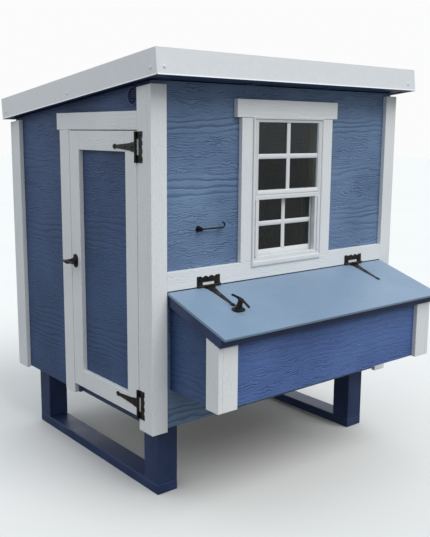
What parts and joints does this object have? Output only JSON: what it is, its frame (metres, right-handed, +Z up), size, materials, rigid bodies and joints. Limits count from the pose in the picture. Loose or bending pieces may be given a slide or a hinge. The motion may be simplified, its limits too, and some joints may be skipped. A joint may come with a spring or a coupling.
{
  "type": "chicken coop",
  "caption": "Raised timber chicken coop on leg frames, with a keeper's door, outside nest box under a sloping lid, sliding window, ramp door for the hens and single-slope metal roof.",
  "frame": {"origin": "middle of the whole object's box, at ground level", "axes": "+X to the right along the front wall, +Y from the front (nest box) to the back, +Z up"},
  "size_m": [1.3244, 1.3922, 1.5555],
  "materials": {
    "siding_blue": "painted engineered wood siding, embossed grain, satin",
    "stand_navy": "painted pressure-treated lumber, satin",
    "lid_blue": "painted engineered wood, smooth satin",
    "trim_white": "painted engineered wood trim, embossed grain, satin",
    "metal_white": "factory-painted sheet steel",
    "iron_black": "black powder-coated steel, satin",
    "bare_pine": "unpainted sawn pine and plywood",
    "vinyl_white": "extruded white vinyl",
    "vent_blue": "moulded vent, painted with the siding",
    "clear_glass": "clear float glass",
    "screen_mesh": "coated glass-fibre insect mesh, dark"
  },
  "bodies": {
    "coop": {"skid_plates": "stand_navy", "legs": "stand_navy", "floor_frame": "stand_navy", "floor_panel": "bare_pine", "wall_front": "siding_blue", "wall_back": "siding_blue", "wall_left": "siding_blue", "wall_right": "siding_blue", "wall_studs": "bare_pine", "corner_boards": "trim_white", "nest_hinge_board": "trim_white", "door_casing": "trim_white", "window_casing": "trim_white", "rafters": "stand_navy", "front_soffit": "stand_navy", "roof_deck": "bare_pine", "roof_sheet": "metal_white", "roof_edge_trim": "metal_white", "roof_trim_screws": "metal_white", "round_vents": "vent_blue", "hinge_leaves": "iron_black", "hinge_pins": "iron_black", "hinge_leaf_screws": "iron_black", "nest_floor": "bare_pine", "nest_sides": "siding_blue", "nest_front": "siding_blue", "nest_dividers": "bare_pine", "nest_corner_boards": "trim_white", "nest_latch_rail": "bare_pine", "window_frame": "vinyl_white", "upper_sash": "vinyl_white", "upper_glass": "clear_glass", "window_screen": "screen_mesh", "stay_hook_eye": "iron_black", "ramp_casing": "trim_white", "ramp_bolt_keeper": "iron_black", "roost_bars": "bare_pine"},
    "door": {"door_boards": "trim_white", "door_panel": "siding_blue", "door_hinge_straps": "iron_black", "door_screws": "iron_black", "door_rose": "iron_black"},
    "door_handle": {"door_t_handle": "iron_black", "door_pawl": "iron_black"},
    "lid": {"lid_panel": "lid_blue", "lid_frame": "stand_navy", "lid_hinge_straps": "iron_black", "lid_screws": "iron_black", "lid_rose": "iron_black"},
    "lid_handle": {"lid_t_handle": "iron_black", "lid_pawl": "iron_black"},
    "sash": {"lower_sash": "vinyl_white", "lower_glass": "clear_glass"},
    "hook": {"stay_hook": "iron_black"},
    "ramp": {"ramp_panel": "siding_blue", "ramp_cleats": "bare_pine", "ramp_hinge_straps": "iron_black", "ramp_screws": "iron_black", "ramp_bolt_plate": "iron_black"},
    "bolt": {"ramp_bolt": "iron_black"}
  },
  "joints": [
    {"name": "door_swing", "type": "hinge", "parent": "coop", "child": "door", "pos_m": [-0.62225, -0.30809, 0.805], "axis": [0, 0, 1], "range_deg": [0, 170]},
    {"name": "door_latch_turn", "type": "hinge", "parent": "door", "child": "door_handle", "pos_m": [-0.61675, 0.12041, 0.808], "axis": [-1, 0, 0], "range_deg": [0, 90]},
    {"name": "lid_lift", "type": "hinge", "parent": "coop", "child": "lid", "pos_m": [0.00825, -0.39659, 0.76603], "axis": [-1, 0, 0], "range_deg": [0, 93]},
    {"name": "lid_latch_turn", "type": "hinge", "parent": "lid", "child": "lid_handle", "pos_m": [-0.37975, -0.5579, 0.70909], "axis": [0, 0.3024, -0.9532], "range_deg": [0, 90]},
    {"name": "sash_slide", "type": "slide", "parent": "coop", "child": "sash", "axis": [0, 0, 1], "range_m": [0, 0.2]},
    {"name": "hook_swing", "type": "hinge", "parent": "coop", "child": "hook", "pos_m": [-0.40875, -0.38909, 0.96603], "axis": [0, 1, 0], "range_deg": [-60, 90]},
    {"name": "ramp_fold", "type": "hinge", "parent": "coop", "child": "ramp", "pos_m": [0.63875, 0.22891, 0.3135], "axis": [0, 1, 0], "range_deg": [0, 134]},
    {"name": "bolt_slide", "type": "slide", "parent": "ramp", "child": "bolt", "axis": [0, -1, 0], "range_m": [0, 0.022]}
  ]
}
